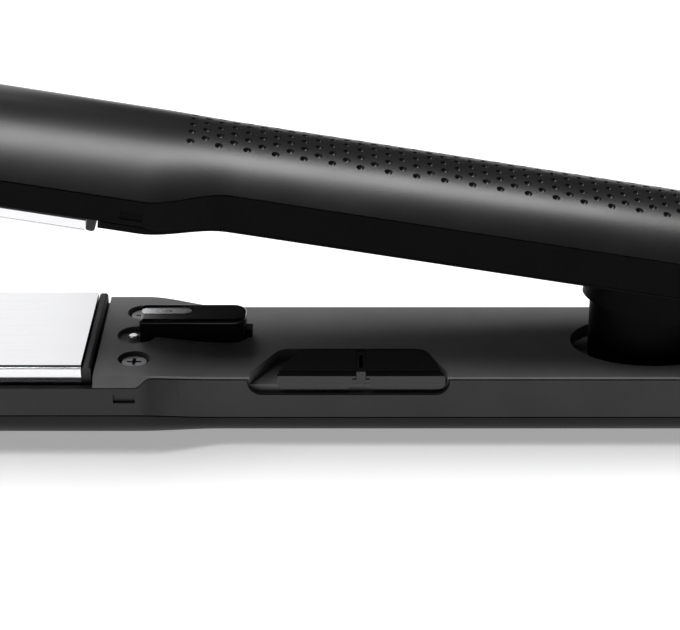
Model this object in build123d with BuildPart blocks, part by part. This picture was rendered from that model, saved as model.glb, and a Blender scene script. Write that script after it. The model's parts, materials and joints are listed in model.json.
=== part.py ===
from build123d import *
import math
import os

# Flat iron, open at rest. Millimetres, +Z up. X runs along the lower arm, tips at -X and the
# cord outlet at +X; -Y is the side with the controls. The lower arm's back lies on Z = 0.
#
# Each arm has its own frame: x as in the whole part, y across, z outward from the grip's inner
# face. Every sketch stands on a plane of its arm, so one function makes both arms' pieces.

os.makedirs("parts", exist_ok=True)

# ---- Driving dimensions ----
END_X = 139.5
CROWN = 12.2                # inner face to the back of an arm
PIVOT_X = 111.5
HALF_GAP = 3.45             # closing plane to each grip face
OPEN_ANGLE = 9.4            # opening at rest
WALL = 1.4
SEAM_GAP = 0.2              # shadow gap at the parting line

NOSE_X = -131.0             # casing starts behind the nose cap
COVER_X = -30.5             # inner cover starts behind the plate
WAIST = (-24.0, -10.0)      # the wide plate section narrows to the grip here
WAIST_STATIONS = (0, 0.03, 0.07, 0.11, 0.15, 0.2, 0.27, 0.36, 0.45, 0.54, 0.63, 0.72, 0.81, 0.9, 1)
COVER_END_X = 104.0
LOWER_TAIL = (116.0, 134.0)  # the arm rounds off between these
UPPER_TAIL = (106.0, 119.5)
TAIL_HALF = 6.8             # half width left at the very end

RIM_HALF = 16.3             # half width of the frame's rim in the wide section
SEAM_HALF = 17.0            # half widths at the parting line, wide section and grip
GRIP_SEAM_HALF = 13.9
SEAM_Z = 4.5
GRIP_SEAM_Z = 6.5
LOWER_FLAT = 5.0            # half width of the flat strip along the crown
UPPER_FLAT = 0.6

COVER_HALF = 15.0           # raised pad behind the plate
GRIP_COVER_HALF = 13.25
PAD_HEIGHT = 1.8
PAD_END = (-23.6, -21.2)    # the pad's sloping sides run out here
LOWER_RISE = 0.65           # the lower grip's face stands above its arm's zero by this
UPPER_RISE = 0.0
LIP = 0.4                   # visible thickness of the cover's edge
SHADOW = 0.15               # gap between the cover's edge and the frame
COVER_THICK = 1.5

PLATE_X = (-127.5, -32.5)
PLATE_FACE = -3.3           # heated surface, measured like every arm z
PLATE_FLAT_HALF = 13.75
PLATE_HALF = 14.4

SCREW_X = -24.3
SCREW_Y = 8.8
SPRING_X = 62.3
CUP_HALVES = (10.2, 7.0)
COLLAR_HALVES = (11.75, 8.4)
COLLAR_INNER = (10.95, 7.65)
RECESS_HALVES = (13.2, 9.3)
BARREL_R = 5.0
PIN_R = 2.0
SWIVEL_Z = 6.1
INLET_R = 3.2

# ---- Frames and planes ----
lower = Plane(origin=(0, 0, CROWN), x_dir=(1, 0, 0), z_dir=(0, 0, -1))
tilt = Plane(origin=(PIVOT_X, 0, CROWN + HALF_GAP)).rotated((0, OPEN_ANGLE, 0))
upper = Plane(
    origin=tilt.from_local_coords(Vector(-PIVOT_X, 0, HALF_GAP)), x_dir=tilt.x_dir, z_dir=tilt.z_dir
)


def station(arm, x):
    """Cross-section plane at x: across, then outward."""
    return Plane(origin=arm.from_local_coords(Vector(x, 0, 0)), x_dir=arm.y_dir, z_dir=arm.x_dir)


def side(arm, y=0.0):
    """Lengthwise plane at y: along, then outward; it faces -y."""
    return Plane(origin=arm.from_local_coords(Vector(0, y, 0)), x_dir=arm.x_dir, z_dir=-arm.y_dir)


def level(z):
    """Plane over the lower arm's grip face, world directions, z up from the face."""
    return Plane.XY.offset(CROWN + LOWER_RISE + z)


def save(piece, label):
    piece.part.label = label
    export_step(piece.part, "parts/" + label + ".step")


def mix(a, b, t):
    return a + (b - a) * t


def smooth(x, span):
    """0 before the span, 1 after it, smooth between."""
    t = min(max((x - span[0]) / (span[1] - span[0]), 0.0), 1.0)
    return t * t * (3 - 2 * t)


def waist(x):
    """0 in the plate section, 1 in the grip."""
    return smooth(x, WAIST)


def face_edge(x, rise):
    """Half width and height of the inner cover's upper edge."""
    return mix(COVER_HALF, GRIP_COVER_HALF, waist(x)), mix(-PAD_HEIGHT, -rise, waist(x))


# ---- Changing outlines ----
def dome_outline(x, inset, flat):
    """Casing above the parting line."""
    half = mix(SEAM_HALF, GRIP_SEAM_HALF, waist(x)) - inset
    base = mix(SEAM_Z, GRIP_SEAM_Z, waist(x)) + (SEAM_GAP if inset == 0 else 0.0)
    top = CROWN - inset
    with BuildSketch() as outline:
        with BuildLine():
            Line((-half, base), (half, base))
            TangentArc((flat, top), (half, base), tangent=(1, 0))
            Line((-flat, top), (flat, top))
            TangentArc((-flat, top), (-half, base), tangent=(-1, 0))
        make_face()
    return outline.sketch


def frame_outline(x, inset, rise):
    """Side frame under the parting line."""
    edge_half, edge_z = face_edge(x, rise)
    rim = mix(RIM_HALF, edge_half + 0.2, smooth(x, PAD_END)) - inset
    seam = mix(SEAM_HALF, GRIP_SEAM_HALF, waist(x)) - inset
    reach = 1.0 if inset else 0.0
    low = mix(0.0, edge_z + LIP + SHADOW, smooth(x, PAD_END)) - reach
    high = mix(SEAM_Z, GRIP_SEAM_Z, waist(x)) + reach
    with BuildSketch() as outline:
        Polygon((-rim, low), (rim, low), (seam, high), (-seam, high), align=None)
    return outline.sketch


def cover_outline(x, inset, rise):
    """Inner cover: a lipped plate; its wide end stands up as a pad with sloping sides."""
    top_half, top = face_edge(x, rise)
    base_half = mix(RIM_HALF - 0.05, top_half + 0.05, smooth(x, PAD_END))
    base = mix(-SHADOW, top + LIP, smooth(x, PAD_END))
    body_half = mix(RIM_HALF, top_half + 0.2, smooth(x, PAD_END)) - WALL - 0.2
    body = base + COVER_THICK - LIP
    right = [(top_half, top), (base_half, base), (body_half, base), (body_half, body)]
    left = [(-across, height) for across, height in reversed(right)]
    with BuildSketch() as outline:
        Polygon(*right, *left, align=None)
    return outline.sketch


def sweep_outline(arm, outline, start, end, inset, shape):
    """Extrudes an outline where it is constant and lofts it through the waist.

    The last value is the casing's flat half width, or the rise of a frame or cover."""
    with BuildPart() as body:
        for first, last in ((start, WAIST[0]), (WAIST[1], end)):
            with BuildSketch(station(arm, first)):
                add(outline(first, inset, shape))
            extrude(amount=last - first)
        for share in WAIST_STATIONS:
            x = mix(WAIST[0], WAIST[1], share)
            with BuildSketch(station(arm, x)):
                add(outline(x, inset, shape))
        loft(ruled=True)
    return body.part


def tail_limits(arm, tail, inset):
    """A solid that rounds off the end of an arm, in plan and toward the crown."""
    start, end = tail
    end -= inset
    half = GRIP_SEAM_HALF + 0.3 - inset
    bend = (mix(start, end, 0.78), mix(half, TAIL_HALF - inset, 0.32))
    with BuildSketch() as plan:
        with BuildLine():
            Line((-150, -30), (-150, 30))
            Polyline((-150, 30), (WAIST[1], 30), (WAIST[1], half), (start, half))
            ThreePointArc((start, half), bend, (end, TAIL_HALF - inset))
            Line((end, TAIL_HALF - inset), (end, inset - TAIL_HALF))
            ThreePointArc((end, inset - TAIL_HALF), (bend[0], -bend[1]), (start, -half))
            Polyline((start, -half), (WAIST[1], -half), (WAIST[1], -30), (-150, -30))
        make_face()
    drop = 4.2 if tail == UPPER_TAIL else 0.2
    top = CROWN - inset
    with BuildSketch() as profile:
        with BuildLine():
            Polyline((end, top - drop), (end, -10), (-150, -10), (-150, top + 0.5), (start, top + 0.5))
            Line((start, top + 0.5), (start, top))
            ThreePointArc((start, top), (mix(start, end, 0.65), top - drop * 0.34), (end, top - drop))
        make_face()
    with BuildPart() as limits:
        with BuildSketch(arm.offset(-10)):
            add(plan.sketch)
        extrude(amount=30)
        with BuildSketch(side(arm)):
            add(profile.sketch)
        extrude(amount=30, both=True, mode=Mode.INTERSECT)
    return limits.part


def tailed(arm, outline, start, tail, inset, shape):
    """An arm-long body with its rounded end."""
    body = sweep_outline(arm, outline, start, tail[1] - inset, inset, shape)
    limits = tail_limits(arm, tail, inset)
    with BuildPart() as piece:
        add(body)
        add(limits, mode=Mode.INTERSECT)
    return piece.part


# ---- Pieces that both arms have ----
def casing(arm, flat, tail, post_top):
    """Outer casing with screw posts inside."""
    outside = tailed(arm, dome_outline, NOSE_X, tail, 0.0, flat)
    inside = tailed(arm, dome_outline, NOSE_X, tail, WALL, flat)
    with BuildPart() as piece:
        add(outside)
        add(inside, mode=Mode.SUBTRACT)
        with BuildSketch(arm.offset(3.2)):
            with Locations((SCREW_X, SCREW_Y), (SCREW_X, -SCREW_Y)):
                Circle(2.3)
        extrude(amount=post_top - 3.2)
        with BuildSketch(arm):
            with Locations((SCREW_X, SCREW_Y), (SCREW_X, -SCREW_Y)):
                Circle(1.0)
        extrude(amount=7.6, mode=Mode.SUBTRACT)
    return piece


def side_frame(arm, tail, rise, ribs):
    """Side walls of an arm, joined by end walls and cross ribs."""
    outside = tailed(arm, frame_outline, NOSE_X, tail, 0.0, rise)
    inside = tailed(arm, frame_outline, NOSE_X + WALL, tail, WALL, rise)
    with BuildPart() as piece:
        add(outside)
        add(inside, mode=Mode.SUBTRACT)
        for x, half, low, high in ribs:
            with BuildSketch(side(arm)):
                with Locations((x, (low + high) / 2)):
                    Rectangle(1.6, high - low)
            extrude(amount=half, both=True)
        # windows where the inner cover's latches show
        for y in (21.0, -16.3):
            with BuildSketch(side(arm, y)):
                with Locations((-25.4, 1.7)):
                    Rectangle(3.6, 1.5)
            extrude(amount=5, mode=Mode.SUBTRACT)
        # room for the hinge's round caps
        with BuildSketch(side(arm)):
            with Locations((PIVOT_X, -HALF_GAP)):
                Circle(BARREL_R + 0.3)
        extrude(amount=SEAM_HALF, both=True, mode=Mode.SUBTRACT)
    return piece


def nose_cap(arm, flat):
    """Cool tip: closes the front of an arm and stands up in front of the plate."""
    angles = [math.radians(a) for a in (0, 18, 34, 50, 66, 80)]
    with BuildPart() as piece:
        for inset, length, mode in ((0.0, 8.5, Mode.ADD), (1.5, 6.9, Mode.SUBTRACT)):
            for angle in angles:
                shrink = math.cos(angle)
                half = mix(7.0, SEAM_HALF, shrink) - inset
                top = mix(7.6, CROWN, shrink) - inset
                rim = half - (SEAM_HALF - RIM_HALF)
                low = mix(1.6, 0.0, shrink) + inset
                seam = SEAM_Z + SEAM_GAP
                with BuildSketch(station(arm, NOSE_X - 0.15 - length * math.sin(angle))):
                    with BuildLine():
                        Polyline((-half, seam), (-rim, low), (rim, low), (half, seam))
                        TangentArc((flat, top), (half, seam), tangent=(1, 0))
                        Line((-flat, top), (flat, top))
                        TangentArc((-flat, top), (-half, seam), tangent=(-1, 0))
                    make_face()
            loft(mode=mode)
        with BuildSketch(arm.offset(1.5)):
            with Locations((NOSE_X - 2.4, 0)):
                RectangleRounded(4.2, 25.0, 1.9)
        extrude(amount=-4.5)
    return piece


def plate(arm):
    """Heated plate: rolled edges, a groove and a skirt along both sides."""
    skirt = 0.55
    with BuildPart() as piece:
        with BuildSketch(station(arm, PLATE_X[0])):
            with BuildLine():
                Line((0, PLATE_FACE), (PLATE_FLAT_HALF, PLATE_FACE))
                RadiusArc((PLATE_FLAT_HALF, PLATE_FACE), (PLATE_HALF, PLATE_FACE + 0.65), 0.65)
                Polyline(
                    (PLATE_HALF, PLATE_FACE + 0.65),
                    (PLATE_HALF, PLATE_FACE + 2.1),
                    (PLATE_HALF - 0.6, PLATE_FACE + 2.1),
                    (PLATE_HALF - 0.6, PLATE_FACE + 2.8),
                    (PLATE_HALF, PLATE_FACE + 2.8),
                    (PLATE_HALF, skirt),
                    (12.6, skirt),
                    (12.6, PLATE_FACE + 1.5),
                    (0, PLATE_FACE + 1.5),
                )
                Line((0, PLATE_FACE + 1.5), (0, PLATE_FACE))
            make_face()
            mirror(about=Plane.YZ)
        extrude(amount=PLATE_X[1] - PLATE_X[0])
    return piece


def carrier(arm):
    """Heat-resistant tray under the plate, with a raised cap at each end."""
    middle = (PLATE_X[0] + PLATE_X[1]) / 2
    length = PLATE_X[1] - PLATE_X[0] + 3.2
    with BuildPart() as piece:
        with BuildSketch(arm.offset(0.6)):
            with Locations((middle, 0)):
                Rectangle(length, 28.4)
                with GridLocations(30, 1, 3, 1):
                    Rectangle(16, 9, mode=Mode.SUBTRACT)
        extrude(amount=1.2)
        for x in (PLATE_X[0] - 0.85, PLATE_X[1] + 0.85):
            with BuildSketch(station(arm, x)):
                with Locations((0, -0.55)):
                    Rectangle(28.4, 4.7)
            extrude(amount=0.75, both=True)
        cap_tops = piece.faces().sort_by(Axis(arm.origin, arm.z_dir))[:2]
        fillet(cap_tops.edges().filter_by(Axis(arm.origin, arm.y_dir)), 0.5)
    return piece


def heater(arm):
    """Ceramic heater under the plate, two elements on one strip."""
    with BuildPart() as piece:
        with BuildSketch(arm.offset(PLATE_FACE + 1.55)):
            with Locations((-80, 0)):
                Rectangle(84, 12)
        extrude(amount=0.3)
        with BuildSketch(arm.offset(PLATE_FACE + 1.85)):
            with Locations((-101, 0), (-59, 0)):
                RectangleRounded(36, 14, 1.0)
        extrude(amount=1.2)
    return piece


def heater_clip(arm):
    """Sprung steel strip that presses the heater against the plate."""
    with BuildPart() as piece:
        with BuildSketch(side(arm)):
            with BuildLine():
                Polyline((-116, 0.2), (-106, 0.2), (-103, -0.16), (-97, -0.16), (-94, 0.2), (-66, 0.2))
                Polyline((-66, 0.2), (-63, -0.16), (-57, -0.16), (-54, 0.2), (-44, 0.2))
                Polyline((-44, 0.2), (-44, 0.5), (-116, 0.5), (-116, 0.2))
            make_face()
        extrude(amount=4.0, both=True)
    return piece


def thermistor(arm):
    """Glass bead sensor against the underside of the plate."""
    with BuildPart() as piece:
        with BuildSketch(station(arm, -37.6)):
            with Locations((4.5, -0.85)):
                Circle(0.85)
        extrude(amount=4.0)
    return piece


def cushions(arm):
    """Silicone pads that let the plate give."""
    with BuildPart() as piece:
        with BuildSketch(arm.offset(4.35)):
            with Locations((-110, 0), (-50, 0)):
                with GridLocations(1, 18, 1, 2):
                    RectangleRounded(9, 5, 1.2)
        extrude(amount=-1.6)
    return piece


def heat_shield(arm):
    """Slotted metal sheet between the heater and the casing."""
    with BuildPart() as piece:
        with BuildSketch(arm.offset(4.45)):
            with Locations((-80.5, 0)):
                RectangleRounded(93, 27, 2.0)
                with GridLocations(15, 1, 5, 1):
                    SlotOverall(11, 4, rotation=90, mode=Mode.SUBTRACT)
        extrude(amount=0.35)
    return piece


def face_screws(arm):
    """Pan-head cross-recess screws, heads toward the inner face."""
    head = arm.offset(-1.2)
    places = [(SCREW_X, -SCREW_Y), (SCREW_X, SCREW_Y)]
    with BuildPart() as piece:
        with BuildSketch(head):
            with Locations(places):
                Circle(2.05)
        extrude(amount=1.1)
        with BuildSketch(head.offset(1.1)):
            with Locations(places):
                Circle(0.95)
        extrude(amount=6.7)
        with BuildSketch(head):
            with Locations(places):
                Rectangle(2.5, 0.55)
                Rectangle(0.55, 2.5)
        extrude(amount=0.9, mode=Mode.SUBTRACT)
    return piece


def screw_recesses(arm):
    """Counterbored holes for the face screws, in the cover being built."""
    face = Plane(arm.from_local_coords(Vector(SCREW_X, 0, -PAD_HEIGHT)), arm.x_dir, -arm.z_dir)
    with Locations(face):
        with Locations((0, SCREW_Y), (0, -SCREW_Y)):
            CounterBoreHole(1.15, 2.7, 1.8)


def leads(arm, start, end, spread):
    """Insulated heater wires inside the casing."""
    with BuildPart() as piece:
        for y in (-spread, spread):
            with BuildSketch(station(arm, start)):
                with Locations((y, 8.8)):
                    Circle(0.7)
            extrude(amount=end - start)
    return piece


# ---- Lower arm ----
def lower_ribs():
    rows = [(x, 15.5, 3.1, 4.35) for x in (-126, -104, -80, -56, -36)]
    rows += [(x, 13.0, 4.6, 6.2) for x in (-5.6, 46.0, 80.0, 101.0)]
    return rows


lower_tail_hole = station(lower, LOWER_TAIL[1] - 5.0)

with BuildPart() as lower_shell:
    add(casing(lower, LOWER_FLAT, LOWER_TAIL, 10.6))
    with BuildSketch(lower_tail_hole):
        with Locations((0, CROWN - SWIVEL_Z)):
            Circle(4.0)
    extrude(amount=10, mode=Mode.SUBTRACT)
save(lower_shell, "lower_shell")

with BuildPart() as lower_frame:
    add(side_frame(lower, LOWER_TAIL, LOWER_RISE, lower_ribs()))
    with BuildSketch(lower_tail_hole):
        with Locations((0, CROWN - SWIVEL_Z)):
            Circle(4.0)
    extrude(amount=10, mode=Mode.SUBTRACT)
    # the side wall is let in where the control bar wraps over it
    with BuildSketch(side(lower, 14.9)):
        with Locations((11.45, -LOWER_RISE)):
            RectangleRounded(33.5, 6.4, 2.4)
    extrude(amount=3.2, mode=Mode.SUBTRACT)
save(lower_frame, "lower_frame")

# Control recess: open toward the front, rounded at the back
RECESS_X = (-4.9, 27.8)
RECESS_BACK_Y = -2.9
RECESS_DEPTH = 2.0
BAR_TOP = 0.6
BUTTON_X = (5.6, 20.6)
SLIDE = 4.0                 # the bar's travel between free and locked


def recess_outline(grow):
    """Plan of the control recess, running out past the front edge."""
    left = RECESS_X[0] - grow
    right = RECESS_X[1] + grow
    back = RECESS_BACK_Y + grow
    with BuildSketch() as outline:
        with BuildLine():
            FilletPolyline(
                (left, -20),
                (left, -11.6),
                (left + 4.8, back),
                (right - 3.6, back),
                (right, -11.6),
                (right, -20),
                radius=2.6,
            )
            Line((left, -20), (right, -20))
        make_face()
    return outline.sketch


EYE_LEVEL = 0.15            # floor of the round recess between the screws
BLOCK_X = (-24.1, -6.0)
BLOCK_Y = (-0.6, 6.0)
BLOCK_TOP = 4.2


def block_outline(grow):
    """Plan of the tall housing: square at the plate end, round at the other."""
    left = BLOCK_X[0] - grow
    right = BLOCK_X[1] + grow
    front = BLOCK_Y[0] - grow
    back = BLOCK_Y[1] + grow
    with BuildSketch() as outline:
        Polygon((left, front), (right, front), (right, back), (left, back), align=None)
        corners = outline.vertices().sort_by(Axis.X)
        fillet(corners[:2], 0.4)
        fillet(outline.vertices().sort_by(Axis.X)[-2:], 2.4 + grow)
    return outline.sketch


with BuildPart() as lower_face_cover:
    add(sweep_outline(lower, cover_outline, COVER_X, COVER_END_X, 0.0, LOWER_RISE))
    # tub under the control recess and under the round recess
    with BuildSketch(level(-3.2)):
        with Locations((11.45, -7.2)):
            Rectangle(36.5, 9.6)
        with Locations((SPRING_X, 0)):
            Ellipse(RECESS_HALVES[0] + 1.2, RECESS_HALVES[1] + 1.2)
    extrude(amount=2.2)
    with BuildSketch(level(-RECESS_DEPTH)):
        add(recess_outline(0.0))
    extrude(amount=4, mode=Mode.SUBTRACT)
    # slots that let the button stems travel with the bar
    with BuildSketch(level(-4)):
        for x in BUTTON_X:
            with Locations((x - SLIDE / 2, -8.6)):
                SlotOverall(SLIDE + 3.2, 3.2)
    extrude(amount=3, mode=Mode.SUBTRACT)
    with BuildSketch(level(-2.0)):
        with Locations((SPRING_X, 0)):
            Ellipse(*RECESS_HALVES)
    extrude(amount=4, mode=Mode.SUBTRACT)
    with BuildSketch(level(-4)):
        with Locations((SPRING_X, 0)):
            Ellipse(CUP_HALVES[0] + 0.05, CUP_HALVES[1] + 0.05)
    extrude(amount=5, mode=Mode.SUBTRACT)
    screw_recesses(lower)
    with BuildSketch(level(EYE_LEVEL)):
        with Locations((SCREW_X - 0.4, 0)):
            Circle(3.25)
    extrude(amount=4, mode=Mode.SUBTRACT)
    with BuildSketch(level(-3)):
        add(block_outline(0.08))
    extrude(amount=6, mode=Mode.SUBTRACT)
save(lower_face_cover, "lower_face_cover")

save(nose_cap(lower, LOWER_FLAT), "lower_nose_cap")
save(heat_shield(lower), "lower_heat_shield")
save(cushions(lower), "lower_cushions")
save(face_screws(lower), "lower_face_screws")
save(leads(lower, -34.0, 124.0, 5.0), "lower_leads")

tail_plan = tail_limits(lower, LOWER_TAIL, 0.75)
with BuildPart() as tail_cover:
    with BuildSketch(level(-LIP)):
        with Locations((126.0, 0)):
            Rectangle(15.2, 40)
    extrude(amount=LIP + 1.6)
    add(tail_plan, mode=Mode.INTERSECT)
    fillet(tail_cover.faces().sort_by(Axis.Z)[-1].edges(), 1.1)
    with BuildSketch(level(-1.5)):
        with Locations((124.0, 0)):
            Rectangle(10, 16)
    extrude(amount=2)
save(tail_cover, "tail_cover")

with BuildPart() as sensor_housing:
    with BuildSketch(level(-1.9)):
        add(block_outline(0.0))
    extrude(amount=1.9 + BLOCK_TOP)
    fillet(sensor_housing.faces().sort_by(Axis.Z)[-1].edges(), 0.7)
    with BuildSketch(level(BLOCK_TOP - 1.6)):
        with Locations((-21.4, 3.75)):
            SlotOverall(12.4, 3.4)
    extrude(amount=3, mode=Mode.SUBTRACT)
    with BuildSketch(level(0.1)):
        with Locations((-5.6, 2.4)):
            RectangleRounded(1.2, 2.4, 0.4)
    extrude(amount=1.4)
save(sensor_housing, "sensor_housing")

with BuildPart() as sensor_window:
    with BuildSketch(level(BLOCK_TOP - 1.6)):
        with Locations((-19.7, 3.75)):
            SlotOverall(8.6, 3.0)
    extrude(amount=1.25)
    with BuildSketch(level(BLOCK_TOP - 1.0)):
        with Locations((-19.4, 3.75)):
            Circle(0.55)
    extrude(amount=1, mode=Mode.SUBTRACT)
save(sensor_window, "sensor_window")

with BuildPart() as pilot_lens:
    with BuildSketch(level(EYE_LEVEL)):
        with Locations((BLOCK_X[0] - 1.1, 0.4)):
            Circle(0.9)
    extrude(amount=0.8)
    fillet(pilot_lens.faces().sort_by(Axis.Z)[-1].edges(), 0.35)
save(pilot_lens, "pilot_lens")

with BuildPart() as control_board:
    with BuildSketch(level(-7.6)):
        with Locations((20.0, 0)):
            RectangleRounded(48, 22, 1.0)
            with GridLocations(43, 17, 2, 2):
                Circle(1.1, mode=Mode.SUBTRACT)
    extrude(amount=1.2)
save(control_board, "control_board")

with BuildPart() as board_parts:
    with BuildSketch(level(-6.4)):
        with Locations((10, 3.5)):
            Rectangle(7, 7)
        with Locations((22, 4.5), (30, 4.5)):
            Rectangle(5, 3)
    extrude(amount=1.4)
    with BuildSketch(level(-6.4)):
        with Locations((34.5, -4)):
            Circle(3.0)
    extrude(amount=3.6)
save(board_parts, "board_parts")

with BuildPart() as tact_switches:
    with BuildSketch(level(-6.4)):
        with Locations((BUTTON_X[0], -8.2), (BUTTON_X[1], -8.2)):
            Rectangle(4.5, 4.2)
    extrude(amount=0.9)
    with BuildSketch(level(-5.5)):
        with Locations((BUTTON_X[0], -8.6), (BUTTON_X[1], -8.6)):
            Circle(0.9)
    extrude(amount=0.55)
save(tact_switches, "tact_switches")

with BuildPart() as spring_cup:
    with BuildSketch(lower.offset(5.5)):
        with Locations((SPRING_X, 0)):
            Ellipse(*CUP_HALVES)
            Ellipse(CUP_HALVES[0] - 0.9, CUP_HALVES[1] - 0.9, mode=Mode.SUBTRACT)
    extrude(amount=-16.0)
    with BuildSketch(lower.offset(5.5)):
        with Locations((SPRING_X, 0)):
            Ellipse(*CUP_HALVES)
    extrude(amount=-1.2)
save(spring_cup, "spring_cup")

SPRING_R = 4.2
SPRING_WIRE = 0.55
SPRING_BASE = -3.6
SPRING_LENGTH = 23.0
SPRING_TURNS = 7
with BuildPart() as arm_spring:
    foot = Plane(origin=(SPRING_X + 0.8, 0, CROWN + SPRING_BASE))
    with BuildLine(foot):
        coil = Helix(pitch=SPRING_LENGTH / SPRING_TURNS, height=SPRING_LENGTH, radius=SPRING_R)
    with BuildSketch(Plane(origin=coil @ 0, z_dir=coil % 0)):
        Circle(SPRING_WIRE)
    sweep(is_frenet=True)
save(arm_spring, "arm_spring")

# Hinge: two ears on the lower arm, a barrel on the upper arm, a pin through both
EAR_Y = (9.1, 11.9)
BARREL_HALF = 8.6
CAP_THICK = 1.3
with BuildPart() as hinge_bracket:
    with BuildSketch(lower.offset(3.0)):
        with Locations((PIVOT_X, 0)):
            Rectangle(13.6, 23.8)
    extrude(amount=2.0)
    for y in (-EAR_Y[1], EAR_Y[0]):
        with BuildSketch(side(lower, y + EAR_Y[1] - EAR_Y[0])):
            with Locations((PIVOT_X, -HALF_GAP)):
                Circle(BARREL_R)
            with Locations((PIVOT_X, (3.5 - HALF_GAP) / 2)):
                Rectangle(2 * BARREL_R, 3.5 + HALF_GAP)
            with Locations((PIVOT_X, -HALF_GAP)):
                Circle(PIN_R + 0.01, mode=Mode.SUBTRACT)
        extrude(amount=EAR_Y[1] - EAR_Y[0])
save(hinge_bracket, "hinge_bracket")

pivot_side = Plane(origin=(PIVOT_X, 0, CROWN + HALF_GAP), x_dir=(1, 0, 0), z_dir=(0, -1, 0))
with BuildPart() as hinge_pin:
    with BuildSketch(pivot_side):
        Circle(PIN_R)
    extrude(amount=EAR_Y[1], both=True)
save(hinge_pin, "hinge_pin")

with BuildPart() as hinge_caps:
    for reach in (EAR_Y[1] + 0.05, -EAR_Y[1] - 0.05 - CAP_THICK):
        with BuildSketch(pivot_side.offset(reach)):
            Circle(BARREL_R)
        extrude(amount=CAP_THICK)
    rims = hinge_caps.edges().filter_by(GeomType.CIRCLE).sort_by(Axis.Y)
    fillet([rims[0], rims[-1]], 0.6)
save(hinge_caps, "hinge_caps")

with BuildPart() as hinge_washers:
    for reach in (BARREL_HALF + 0.1, -EAR_Y[0] + 0.05):
        with BuildSketch(pivot_side.offset(reach)):
            Circle(BARREL_R - 0.6)
            Circle(PIN_R + 0.05, mode=Mode.SUBTRACT)
        extrude(amount=0.35)
save(hinge_washers, "hinge_washers")

with BuildPart() as swivel_bush:
    with BuildSketch(station(lower, 129.0)):
        with Locations((0, CROWN - SWIVEL_Z)):
            Circle(4.3)
            Circle(3.98, mode=Mode.SUBTRACT)
    extrude(amount=3.2)
save(swivel_bush, "swivel_bush")

# ---- Heated plates, one set per arm ----
for name, arm in (("lower", lower), ("upper", upper)):
    save(plate(arm), name + "_plate")
    save(carrier(arm), name + "_plate_carrier")
    save(heater(arm), name + "_heater")
    save(heater_clip(arm), name + "_heater_clip")
    save(thermistor(arm), name + "_thermistor")

# ---- Control bar ----
BAR_FRONT_Y = -13.0
BAR_BACK_Y = -4.4
BAR_X = (-0.2, 26.8)
DIVIDER_X = 13.5


def bar_outline(inset):
    """Plan of the control bar: long front edge, short back edge."""
    with BuildSketch() as outline:
        with BuildLine():
            FilletPolyline(
                (BAR_X[0] + inset, BAR_FRONT_Y + inset),
                (BAR_X[0] + 0.5 + inset, -11.0),
                (3.2 + inset, BAR_BACK_Y - inset),
                (24.3 - inset, BAR_BACK_Y - inset),
                (BAR_X[1] - 0.3 - inset, -11.0),
                (BAR_X[1] - inset, BAR_FRONT_Y + inset),
                radius=2.0,
            )
            Line((BAR_X[1] - inset, BAR_FRONT_Y + inset), (BAR_X[0] + inset, BAR_FRONT_Y + inset))
        make_face()
    return outline.sketch


with BuildPart() as control_bar:
    with BuildSketch(level(-RECESS_DEPTH + 0.1)):
        add(bar_outline(0.9))
        for x in BUTTON_X:
            with Locations((x, -8.6)):
                Circle(1.35, mode=Mode.SUBTRACT)
    extrude(amount=0.8)
    with BuildSketch(level(-RECESS_DEPTH + 0.9)):
        with Locations((DIVIDER_X, (BAR_BACK_Y + BAR_FRONT_Y) / 2)):
            Rectangle(1.5, 7.4)
            SlotOverall(4.6, 0.6, rotation=90, mode=Mode.SUBTRACT)
    extrude(amount=RECESS_DEPTH - 0.9 + BAR_TOP - 0.1)
save(control_bar, "control_bar")


def button(label, low_x, high_x, stem_x):
    """One half of the bar, with a front lip and a stem that reaches its switch."""
    with BuildPart() as piece:
        with BuildSketch(level(BAR_TOP - 1.0)):
            add(bar_outline(0.0))
            with Locations(((low_x + high_x) / 2, -9)):
                Rectangle(high_x - low_x, 14, mode=Mode.INTERSECT)
        extrude(amount=1.0)
        with BuildSketch(side(lower, -BAR_FRONT_Y)):
            with Locations(((low_x + high_x) / 2, 0.25)):
                RectangleRounded(high_x - low_x - 1.2, 2.9, 1.1)
        extrude(amount=0.7)
        top = piece.faces().sort_by(Axis.Z)[-1]
        fillet(top.edges().filter_by(Axis.X).sort_by(Axis.Y)[0], 0.8)
        with BuildSketch(level(-4.2)):
            with Locations((stem_x, -8.6)):
                Circle(0.95)
        extrude(amount=4.0)
    save(piece, label)


button("left_button", -1.0, DIVIDER_X - 0.85, BUTTON_X[0])
button("right_button", DIVIDER_X + 0.85, 28.0, BUTTON_X[1])

# ---- Upper arm ----
save(casing(upper, UPPER_FLAT, UPPER_TAIL, 9.2), "upper_shell")

upper_ribs = [(x, 15.5, 3.1, 4.35) for x in (-126, -104, -80, -56, -36)]
upper_ribs += [(x, 13.0, 4.6, 6.2) for x in (-5.6, 30.0, 48.0, 77.0, 101.0)]
save(side_frame(upper, UPPER_TAIL, UPPER_RISE, upper_ribs), "upper_frame")

with BuildPart() as upper_face_cover:
    add(sweep_outline(upper, cover_outline, COVER_X, COVER_END_X, 0.0, UPPER_RISE))
    screw_recesses(upper)
    with BuildSketch(upper.offset(-2)):
        with Locations((SPRING_X, 0)):
            Ellipse(COLLAR_HALVES[0] + 0.03, COLLAR_HALVES[1] + 0.03)
    extrude(amount=6, mode=Mode.SUBTRACT)
save(upper_face_cover, "upper_face_cover")

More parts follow.
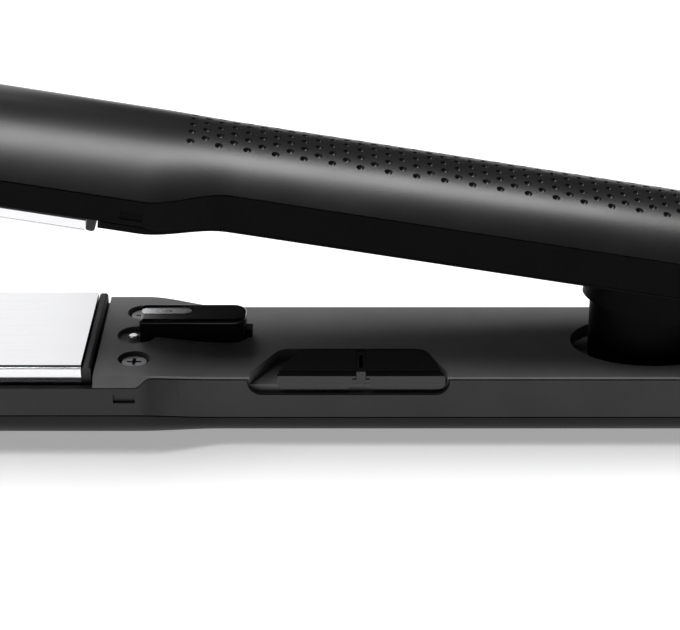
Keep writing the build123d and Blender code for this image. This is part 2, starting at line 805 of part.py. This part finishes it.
with BuildPart() as spring_collar:
    with BuildSketch(upper.offset(-6.8)):
        with Locations((SPRING_X, 0)):
            Ellipse(*COLLAR_HALVES)
    extrude(amount=9.25)
    with BuildSketch(upper.offset(1.55)):
        with Locations((SPRING_X, 0)):
            Ellipse(COLLAR_HALVES[0] + 1.2, COLLAR_HALVES[1] + 1.2)
    extrude(amount=0.9)
    with BuildSketch(upper.offset(-7)):
        with Locations((SPRING_X, 0)):
            Ellipse(*COLLAR_INNER)
    extrude(amount=12, mode=Mode.SUBTRACT)
save(spring_collar, "spring_collar")

with BuildPart() as spring_seat:
    with BuildSketch(upper.offset(6.25)):
        with Locations((SPRING_X, 0)):
            Rectangle(30.4, 12)
    extrude(amount=1.2)
save(spring_seat, "spring_seat")

with BuildPart() as hinge_knuckle:
    with BuildSketch(upper.offset(3.0)):
        with Locations((PIVOT_X - 1.8, 0)):
            Rectangle(12.4, 19.6)
    extrude(amount=2.0)
    with BuildSketch(side(upper)):
        with Locations((PIVOT_X, -HALF_GAP)):
            Circle(BARREL_R)
        with Locations((PIVOT_X, (3.5 - HALF_GAP) / 2)):
            Rectangle(2 * BARREL_R, 3.5 + HALF_GAP)
        with Locations((PIVOT_X, -HALF_GAP)):
            Circle(PIN_R + 0.04, mode=Mode.SUBTRACT)
    extrude(amount=BARREL_HALF, both=True)
    with BuildSketch(pivot_side):
        Circle(PIN_R + 0.04)
    extrude(amount=20, both=True, mode=Mode.SUBTRACT)
save(hinge_knuckle, "hinge_knuckle")

save(nose_cap(upper, UPPER_FLAT), "upper_nose_cap")
save(heat_shield(upper), "upper_heat_shield")
save(cushions(upper), "upper_cushions")
save(face_screws(upper), "upper_face_screws")
save(leads(upper, -34.0, 100.0, 3.4), "upper_leads")

with BuildPart() as thermal_fuse:
    with BuildSketch(station(upper, -20.0)):
        with Locations((0, 8.0)):
            Circle(1.3)
    extrude(amount=9.0)
save(thermal_fuse, "thermal_fuse")

# ---- Cord outlet ----
with BuildPart() as cord_swivel:
    with BuildSketch(Plane.XZ):
        with BuildLine():
            Polyline(
                (127.2, INLET_R), (127.2, 4.45), (128.7, 4.45), (128.7, 3.9), (134.3, 3.9), (134.3, 5.0),
                (137.0, 5.0), (END_X, 4.3), (END_X, INLET_R), close=True,
            )
        make_face()
    revolve(axis=Axis.X)
cord_swivel.part.locate(Location((0, 0, SWIVEL_Z)))
save(cord_swivel, "cord_swivel")
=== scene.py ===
import bpy
import bmesh
import json
import math
from mathutils import Matrix, Vector


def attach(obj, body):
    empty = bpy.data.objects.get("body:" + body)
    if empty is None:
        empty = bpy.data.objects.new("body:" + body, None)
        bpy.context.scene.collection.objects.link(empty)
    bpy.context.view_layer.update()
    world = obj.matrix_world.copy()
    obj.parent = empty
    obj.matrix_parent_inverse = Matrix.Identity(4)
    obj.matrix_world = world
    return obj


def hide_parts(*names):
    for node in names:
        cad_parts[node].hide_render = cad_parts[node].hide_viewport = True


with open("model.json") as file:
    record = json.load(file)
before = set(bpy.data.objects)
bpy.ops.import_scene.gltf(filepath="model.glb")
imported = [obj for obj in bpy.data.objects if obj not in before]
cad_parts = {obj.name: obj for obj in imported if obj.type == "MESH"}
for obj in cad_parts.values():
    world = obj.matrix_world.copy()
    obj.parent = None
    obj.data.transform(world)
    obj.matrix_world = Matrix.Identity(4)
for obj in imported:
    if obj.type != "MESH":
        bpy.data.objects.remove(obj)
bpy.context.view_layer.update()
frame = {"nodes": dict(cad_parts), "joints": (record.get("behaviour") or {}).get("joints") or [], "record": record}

MM = 0.001
nodes = frame["nodes"]
joints = {joint["name"]: joint for joint in frame["joints"]}

# ---- Driving dimensions, in millimetres, the same as the part's ----
CROWN = 12.2
HALF_GAP = 3.45
WAIST = (-24.0, -10.0)
NOSE_X = -131.0
SEAM_GAP = 0.2
WIDE = {"seam": 17.0, "seam_z": 4.5}
GRIP = {"seam": 13.9, "seam_z": 6.5}

# ---- Arm frames: x along, y across, z outward from the grip's inner face ----
hinge = joints["arm_hinge"]
PIVOT = Vector(hinge["pos_m"])
OPEN = math.radians(-hinge["range_deg"][0])
LOWER = Matrix(((1, 0, 0, 0), (0, 1, 0, 0), (0, 0, -1, CROWN), (0, 0, 0, 1)))
UPPER_CLOSED = Matrix.Translation((0, 0, CROWN + 2 * HALF_GAP))
TURN = Matrix.Translation(PIVOT / MM) @ Matrix.Rotation(OPEN, 4, "Y") @ Matrix.Translation(-PIVOT / MM)
UPPER = TURN @ UPPER_CLOSED
ARMS = {"lower": LOWER, "upper": UPPER}


# ---- Camera, light and floor ----
def make_camera():
    data = bpy.data.cameras.new("camera")
    data.sensor_width = 36.0
    data.lens = 114.9
    data.shift_x = -0.0309
    data.clip_start = 0.01
    data.clip_end = 20.0
    camera = bpy.data.objects.new("camera", data)
    camera.location = (0.0135, -0.3304, 0.1789)
    camera.rotation_euler = (math.radians(64.0), 0, 0)
    bpy.context.scene.collection.objects.link(camera)
    bpy.context.scene.camera = camera


def area_light(name, place, target, size, power):
    data = bpy.data.lights.new(name, "AREA")
    data.shape = "RECTANGLE"
    data.size, data.size_y = size
    data.energy = power
    light = bpy.data.objects.new(name, data)
    light.location = place
    light.rotation_euler = (Vector(target) - Vector(place)).to_track_quat("-Z", "Y").to_euler()
    bpy.context.scene.collection.objects.link(light)


def make_stage():
    bpy.ops.mesh.primitive_plane_add(size=6.0, location=(0, 0, 0))
    floor = bpy.context.object
    floor.name = "floor"
    material = bpy.data.materials.new("floor_white")
    material.use_nodes = True
    shader = material.node_tree.nodes["Principled BSDF"]
    shader.inputs["Base Color"].default_value = (0.93, 0.93, 0.93, 1)
    shader.inputs["Roughness"].default_value = 0.6
    shader.inputs["Emission Color"].default_value = (1, 1, 1, 1)
    shader.inputs["Emission Strength"].default_value = 0.36
    floor.data.materials.append(material)
    world = bpy.data.worlds.new("studio")
    world.use_nodes = True
    world.node_tree.nodes["Background"].inputs["Color"].default_value = (1, 1, 1, 1)
    world.node_tree.nodes["Background"].inputs["Strength"].default_value = 0.03
    bpy.context.scene.world = world
    area_light("softbox", (-0.08, 0.10, 0.9), (0.0, 0.0, 0.0), (1.3, 0.24), 11.0)
    area_light("back_wall", (-0.62, 1.1, 0.42), (-0.62, 0.0, 0.1), (0.96, 0.72), 2.6)
    bpy.context.scene.view_settings.view_transform = "Standard"


# ---- Materials ----
class Graph:
    """A short hand for one material's nodes."""

    def __init__(self, name):
        self.material = bpy.data.materials.new(name)
        self.material.use_nodes = True
        self.tree = self.material.node_tree
        self.shader = self.tree.nodes["Principled BSDF"]
        coordinates = self.add("ShaderNodeTexCoord")
        self.object = coordinates.outputs["Object"]

    def add(self, kind, **settings):
        node = self.tree.nodes.new(kind)
        for key, value in settings.items():
            setattr(node, key, value)
        return node

    def link(self, source, target):
        self.tree.links.new(source, target)

    def set(self, **values):
        for key, value in values.items():
            socket = self.shader.inputs[key.replace("_", " ")]
            socket.default_value = value

    def noise(self, scale, detail=2.0, stretch=(1, 1, 1)):
        mapping = self.add("ShaderNodeMapping")
        mapping.inputs["Scale"].default_value = stretch
        self.link(self.object, mapping.inputs["Vector"])
        texture = self.add("ShaderNodeTexNoise")
        texture.inputs["Scale"].default_value = scale
        texture.inputs["Detail"].default_value = detail
        self.link(mapping.outputs["Vector"], texture.inputs["Vector"])
        return texture.outputs["Fac"]

    def ramp(self, value, low, high, first, last):
        ramp = self.add("ShaderNodeMapRange")
        ramp.inputs["From Min"].default_value = low
        ramp.inputs["From Max"].default_value = high
        ramp.inputs["To Min"].default_value = first
        ramp.inputs["To Max"].default_value = last
        self.link(value, ramp.inputs["Value"])
        return ramp.outputs["Result"]

    def tint(self, value, dark, light):
        ramp = self.add("ShaderNodeValToRGB")
        ramp.color_ramp.elements[0].position = 0.3
        ramp.color_ramp.elements[0].color = (*dark, 1)
        ramp.color_ramp.elements[1].position = 0.7
        ramp.color_ramp.elements[1].color = (*light, 1)
        self.link(value, ramp.inputs["Fac"])
        self.link(ramp.outputs["Color"], self.shader.inputs["Base Color"])

    def roughness(self, value, first, last):
        self.link(self.ramp(value, 0.3, 0.7, first, last), self.shader.inputs["Roughness"])

    def bump(self, value, strength, distance):
        bump = self.add("ShaderNodeBump")
        bump.inputs["Strength"].default_value = strength
        bump.inputs["Distance"].default_value = distance
        self.link(value, bump.inputs["Height"])
        self.link(bump.outputs["Normal"], self.shader.inputs["Normal"])


def plastic(name, dark, light, rough, grain, strength, **extra):
    """Moulded plastic: fine grain in the bump, slow variation in colour and gloss."""
    graph = Graph(name)
    graph.tint(graph.noise(140.0, 3.0), dark, light)
    graph.roughness(graph.noise(60.0, 2.0), rough[0], rough[1])
    graph.bump(graph.noise(grain, 2.0), strength, 0.00005)
    graph.set(**extra)
    return graph.material


def metal(name, dark, light, rough, stretch=(1, 1, 1), scale=900.0, strength=0.05):
    graph = Graph(name)
    lines = graph.noise(scale, 4.0, stretch)
    graph.tint(lines, dark, light)
    graph.roughness(lines, rough[0], rough[1])
    graph.bump(lines, strength, 0.00004)
    graph.set(Metallic=1.0)
    return graph.material


def grey(value):
    return (value, value, value * 1.02)


def make_materials():
    return {
        "soft_touch_black": plastic(
            "soft_touch_black", grey(0.006), grey(0.009), (0.29, 0.33), 5200.0, 0.2, Specular_IOR_Level=0.5
        ),
        "frame_black": plastic("frame_black", grey(0.008), grey(0.012), (0.42, 0.5), 4200.0, 0.3),
        # painted shade: a darker, less shiny copy of frame_black for parts that sit in shade
        "frame_painted_shade": plastic(
            "frame_painted_shade", grey(0.002), grey(0.003), (0.42, 0.5), 4200.0, 0.3, Specular_IOR_Level=0.04
        ),
        # painted shade: a darker, less shiny copy of soft_touch_black for the lower casing, which faces the floor
        # in shade
        "shell_painted_shade": plastic(
            "shell_painted_shade", grey(0.004), grey(0.006), (0.34, 0.38), 5200.0, 0.2, Specular_IOR_Level=0.12
        ),
        # painted reflection: the black face covers get a mid grey instead of near black, standing in for the
        # backdrop light their faces reflect
        "cover_black": plastic(
            "cover_black", grey(0.15), grey(0.17), (0.48, 0.54), 4200.0, 0.3, Specular_IOR_Level=0.4
        ),
        "gloss_black": plastic(
            "gloss_black", grey(0.004), grey(0.006), (0.1, 0.14), 900.0, 0.03, Specular_IOR_Level=0.5
        ),
        "plate_metal": metal("plate_metal", grey(0.74), grey(0.8), (0.16, 0.22), (0.06, 1, 1), 1400.0, 0.04),
        "carrier_black": plastic("carrier_black", grey(0.01), grey(0.014), (0.5, 0.6), 3600.0, 0.4),
        "heater_ceramic": plastic(
            "heater_ceramic", (0.7, 0.67, 0.6), (0.78, 0.75, 0.7), (0.6, 0.7), 2500.0, 0.3
        ),
        "spring_steel": metal("spring_steel", grey(0.5), grey(0.62), (0.25, 0.35)),
        "zinc_steel": metal("zinc_steel", grey(0.3), grey(0.42), (0.4, 0.5), scale=1600.0, strength=0.1),
        "sheet_steel": metal("sheet_steel", grey(0.5), grey(0.6), (0.3, 0.4)),
        "silicone": plastic("silicone", (0.36, 0.09, 0.06), (0.45, 0.12, 0.08), (0.5, 0.6), 2500.0, 0.2),
        "clear_window": plastic(
            "clear_window", grey(0.75), grey(0.85), (0.1, 0.2), 800.0, 0.05, Metallic=0.85
        ),
        "board_green": plastic(
            "board_green", (0.02, 0.12, 0.05), (0.03, 0.16, 0.07), (0.35, 0.45), 2500.0, 0.1
        ),
        "component_black": plastic("component_black", grey(0.02), grey(0.03), (0.5, 0.6), 2500.0, 0.2),
        "lead_white": plastic("lead_white", grey(0.6), grey(0.72), (0.7, 0.85), 3000.0, 0.5),
        "washer_ptfe": plastic("washer_ptfe", grey(0.7), grey(0.8), (0.45, 0.55), 1500.0, 0.1),
        "metal_case": metal("metal_case", grey(0.5), grey(0.62), (0.3, 0.4)),
    }


# Nodes that sit in shade get a darker, duller copy of the frame material instead of their slot's: painted shade,
# the same for all
SHADED = ("upper_frame", "upper_face_cover", "spring_cup", "spring_collar")


def dress_nodes(materials):
    slot_of = {part["node"]: part["material_slot"] for part in frame["record"]["subparts"]}
    for name, node in nodes.items():
        node.data.materials.clear()
        node.data.materials.append(materials["frame_painted_shade" if name in SHADED else slot_of[name]])


# ---- Casings ----
# Sizes in millimetres; the dimples are staggered, so every other cell of the grid holds one
DIMPLE = {"radius": 0.66, "depth": 0.55, "pitch_x": 2.3, "pitch_y": 1.45, "columns": 49, "first_x": -18.0}
STRIP_ROWS = 5                      # dimple cells each side of the middle row
SUB = 4                             # grid steps across a cell


def mix(a, b, t):
    return a + (b - a) * t


def waist(x):
    t = min(max((x - WAIST[0]) / (WAIST[1] - WAIST[0]), 0.0), 1.0)
    return t * t * (3 - 2 * t)


def tail_share(x, tail):
    """0 before the rounded end, 1 at the very end, along a quarter circle."""
    t = min(max((x - tail["start"]) / (tail["end"] - tail["start"]), 0.0), 1.0)
    return 1 - math.sqrt(max(1 - t * t, 0.0))


def casing_half(x, tail):
    half = mix(WIDE["seam"], GRIP["seam"], waist(x))
    return mix(half, tail["half"], tail_share(x, tail))


def casing_base(x):
    return mix(WIDE["seam_z"], GRIP["seam_z"], waist(x)) + SEAM_GAP


def casing_height(x, y, tail):
    """Height of the crown over the grip face: a flat strip and two tangent arcs."""
    base = casing_base(x)
    top = CROWN - tail["drop"] * tail_share(x, tail)
    rise = top - base
    reach = casing_half(x, tail) - tail["flat"]
    radius = (reach * reach + rise * rise) / (2 * rise)
    over = min(max(abs(y) - tail["flat"], 0.0), reach)
    return top - radius + math.sqrt(radius * radius - over * over)


UPPER_TAIL = {"start": 104.0, "end": 119.5, "half": 7.2, "drop": 3.6, "flat": 0.6}
LOWER_TAIL = {"start": 116.0, "end": 134.0, "half": 7.2, "drop": 0.2, "flat": 5.0}


def x_stations(tail):
    """Coarse where the casing is straight, fine at the waist, the dimples and the tail."""
    step = DIMPLE["pitch_x"] / SUB
    first = DIMPLE["first_x"] - DIMPLE["pitch_x"] / 2
    fine = [first + step * i for i in range(DIMPLE["columns"] * SUB + 1)]
    front = [mix(NOSE_X, WAIST[0] - 1, i / 24) for i in range(25)]
    front += [mix(WAIST[0] - 0.5, first - 0.4, i / 16) for i in range(17)]
    last = max(fine[-1] + 0.6, tail["start"])
    between = [mix(fine[-1], last, i / 20) for i in range(1, 21)]
    angles = [math.radians(90 * i / 28) for i in range(1, 29)]
    back = [mix(last, tail["end"], math.sin(a)) for a in angles]
    return front, fine, between + back


def y_fractions():
    """Places between the dimple strip and the casing's edge."""
    return [math.sin(math.radians(90 * i / 16)) for i in range(1, 17)]


def casing_mesh(arm, tail, dimpled):
    """The casing's skin as a grid over the arm, with a ring of faces at each dimple."""
    front, fine, back = x_stations(tail)
    xs = front + fine + back
    row_step = DIMPLE["pitch_y"] / SUB
    strip_half = (STRIP_ROWS + 0.5) * DIMPLE["pitch_y"]
    strip_count = (2 * STRIP_ROWS + 1) * SUB
    inner = [-strip_half + row_step * i for i in range(strip_count + 1)]
    shares = y_fractions()
    mesh = bmesh.new()
    grid = []
    for x in xs:
        half = casing_half(x, tail)
        scale = min(1.0, 0.93 * half / strip_half)
        strip = [y * scale for y in inner]
        outer = [mix(strip[-1], half, share) for share in shares]
        ys = [-y for y in reversed(outer)] + strip + outer
        row = []
        for y in ys:
            row.append(mesh.verts.new(arm @ Vector((x, y, casing_height(x, y, tail)))))
        grid.append(row)
    holes = set()
    if dimpled:
        for column in range(DIMPLE["columns"]):
            for line in range(-STRIP_ROWS + 1, STRIP_ROWS):
                if (column + line) % 2 == 0:
                    i0 = len(front) + column * SUB
                    j0 = len(shares) + (line + STRIP_ROWS) * SUB
                    centre_x = DIMPLE["first_x"] + column * DIMPLE["pitch_x"]
                    centre_y = line * DIMPLE["pitch_y"]
                    ring_dimple(mesh, grid, i0, j0, centre_x, centre_y, arm, tail)
                    holes.update((i0 + i, j0 + j) for i in range(SUB) for j in range(SUB))
    for i in range(len(grid) - 1):
        for j in range(len(grid[0]) - 1):
            if (i, j) not in holes:
                mesh.faces.new((grid[i][j], grid[i + 1][j], grid[i + 1][j + 1], grid[i][j + 1]))
    loose = [v for v in mesh.verts if not v.link_faces]
    bmesh.ops.delete(mesh, geom=loose, context="VERTS")
    end_row = grid[-1]
    middle = mesh.verts.new((end_row[0].co + end_row[-1].co) / 2)
    for j in range(len(end_row) - 1):
        mesh.faces.new((end_row[j], middle, end_row[j + 1]))
    bmesh.ops.recalc_face_normals(mesh, faces=mesh.faces)
    return mesh


def ring_dimple(mesh, grid, i0, j0, centre_x, centre_y, arm, tail):
    """A round pit inside one cell of the grid; its profile is shares of the radius and the depth."""
    edge = [(i0 + k, j0) for k in range(SUB)] + [(i0 + SUB, j0 + k) for k in range(SUB)]
    edge += [(i0 + SUB - k, j0 + SUB) for k in range(SUB)] + [(i0, j0 + SUB - k) for k in range(SUB)]
    outer = [grid[i][j] for i, j in edge]
    profile = ((1.0, 0.0), (0.92, 0.16), (0.74, 0.62), (0.4, 0.95))
    corner = math.radians(-135)
    rings = [outer]
    for share, depth in profile:
        ring = []
        for k in range(4 * SUB):
            angle = corner + 2 * math.pi * k / (4 * SUB)
            x = centre_x + DIMPLE["radius"] * share * math.cos(angle)
            y = centre_y + DIMPLE["radius"] * share * math.sin(angle)
            z = casing_height(x, y, tail) - depth * DIMPLE["depth"]
            ring.append(mesh.verts.new(arm @ Vector((x, y, z))))
        rings.append(ring)
    for first, second in zip(rings, rings[1:]):
        for k in range(4 * SUB):
            n = (k + 1) % (4 * SUB)
            mesh.faces.new((first[k], first[n], second[n], second[k]))
    bottom = mesh.verts.new(
        arm @ Vector((centre_x, centre_y, casing_height(centre_x, centre_y, tail) - DIMPLE["depth"]))
    )
    for k in range(4 * SUB):
        mesh.faces.new((rings[-1][k], rings[-1][(k + 1) % (4 * SUB)], bottom))


def finish_piece(mesh, name, body, material):
    """Turns a millimetre bmesh into a shaded object on its body."""
    data = bpy.data.meshes.new(name)
    bmesh.ops.scale(mesh, vec=(MM, MM, MM), verts=mesh.verts)
    mesh.to_mesh(data)
    mesh.free()
    piece = bpy.data.objects.new(name, data)
    bpy.context.scene.collection.objects.link(piece)
    data.materials.append(material)
    for face in data.polygons:
        face.use_smooth = True
    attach(piece, body)
    return piece


def make_casing(which, tail, dimpled, materials):
    mesh = casing_mesh(ARMS[which], tail, dimpled)
    # the plain lower casing takes the painted-shade copy of the casing plastic
    material = materials["soft_touch_black" if dimpled else "shell_painted_shade"]
    piece = finish_piece(mesh, which + "_casing", which + "_arm", material)
    wall = piece.modifiers.new("wall", "SOLIDIFY")
    wall.thickness = 1.2 * MM
    wall.offset = -1.0
    edge = piece.modifiers.new("edge", "BEVEL")
    edge.width = 0.2 * MM
    edge.segments = 2
    edge.limit_method = "ANGLE"
    edge.angle_limit = math.radians(40)
    smooth_by_angle(piece, 40)
    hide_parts(which + "_shell")


def smooth_by_angle(piece, degrees):
    data = piece.data
    data.set_sharp_from_angle(angle=math.radians(degrees))


# ---- CAD nodes that keep their shape: softened edges ----
# Width of each node's rounded edges, in millimetres
EDGES = {
    "lower_face_cover": 0.3, "upper_face_cover": 0.3, "lower_frame": 0.25, "upper_frame": 0.25,
    "tail_cover": 0.2, "control_bar": 0.12, "left_button": 0.2, "right_button": 0.2,
    "sensor_housing": 0.15, "spring_collar": 0.3, "spring_cup": 0.2, "lower_plate_carrier": 0.2,
    "upper_plate_carrier": 0.2, "lower_nose_cap": 0.4, "upper_nose_cap": 0.4,
    "lower_face_screws": 0.12, "upper_face_screws": 0.12, "lower_plate": 0.12, "upper_plate": 0.12,
    "hinge_bracket": 0.25, "hinge_knuckle": 0.25, "cord_swivel": 0.2,
}


def soften_edges():
    for name, width in EDGES.items():
        node = nodes[name]
        edge = node.modifiers.new("edge", "BEVEL")
        edge.width = width * MM
        edge.segments = 3
        edge.limit_method = "ANGLE"
        edge.angle_limit = math.radians(35)
        edge.harden_normals = True


make_camera()
make_stage()
materials = make_materials()
dress_nodes(materials)
make_casing("upper", UPPER_TAIL, True, materials)
make_casing("lower", LOWER_TAIL, False, materials)
soften_edges()
